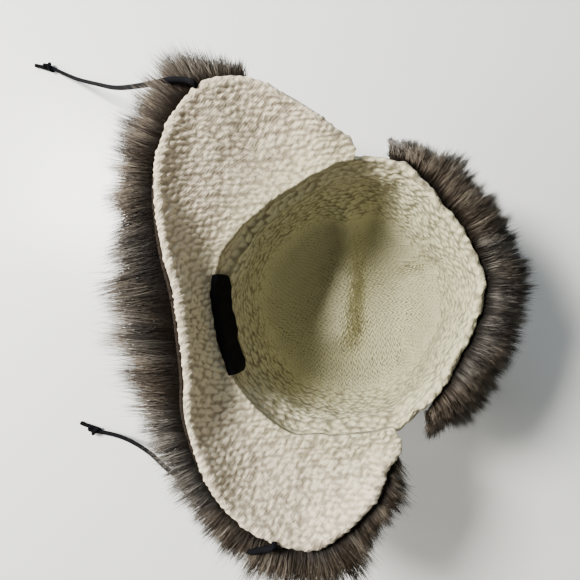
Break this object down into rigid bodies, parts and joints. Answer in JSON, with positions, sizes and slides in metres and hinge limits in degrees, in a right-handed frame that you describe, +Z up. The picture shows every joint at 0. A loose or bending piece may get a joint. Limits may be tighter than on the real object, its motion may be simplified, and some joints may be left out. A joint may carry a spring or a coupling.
{
  "type": "cable knit trapper hat",
  "caption": "Knitted trapper hat lying crown down: cable knit cap, two fur-backed ear flaps joined by a neck band, a folded fur peak and two tie cords",
  "frame": {"origin": "middle of the flat under the crown, on the surface that the hat lies on", "axes": "+Z up, the open side of the hat upward; -Y to the front of the hat (the peak); +X to the flap on the hat's one side, across the head"},
  "size_m": [0.5009, 0.4238, 0.1581],
  "materials": {
    "knit": "matte fuzzy wool knit",
    "knit_lining": "matte fuzzy wool knit, purl side",
    "fur": "deep pile fur, dark roots and lighter streaks",
    "label": "satin woven ribbon, bare",
    "cord": "smooth round cord"
  },
  "bodies": {
    "root": {"crown": "knit", "flap_lining": "knit_lining", "flap_fur": "fur", "peak_fur": "fur", "label": "label", "tie_cord_right": "cord", "tie_cord_left": "cord", "tie_knot_right": "cord", "tie_knot_left": "cord"}
  },
  "joints": []
}
